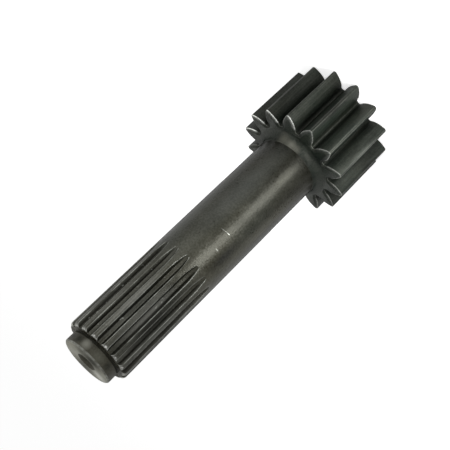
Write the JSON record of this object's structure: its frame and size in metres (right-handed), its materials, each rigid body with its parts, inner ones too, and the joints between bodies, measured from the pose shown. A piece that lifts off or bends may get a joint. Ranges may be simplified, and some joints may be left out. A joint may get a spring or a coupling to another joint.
{
  "type": "sun gear shaft",
  "caption": "Solid steel sun gear shaft with a short straight-toothed pinion at one end, a long plain shaft, and an involute spline with a stub pilot at the other end.",
  "frame": {"origin": "centre of the pinion's free end face, on the axis of the shaft", "axes": "+Z along the shaft towards the splined end, +X through the middle of a spline space"},
  "size_m": [0.0816, 0.0824, 0.244],
  "materials": {
    "oiled_steel": "dark, lightly oiled, satin"
  },
  "bodies": {
    "root": {"sun_gear_shaft": "oiled_steel"}
  },
  "joints": []
}
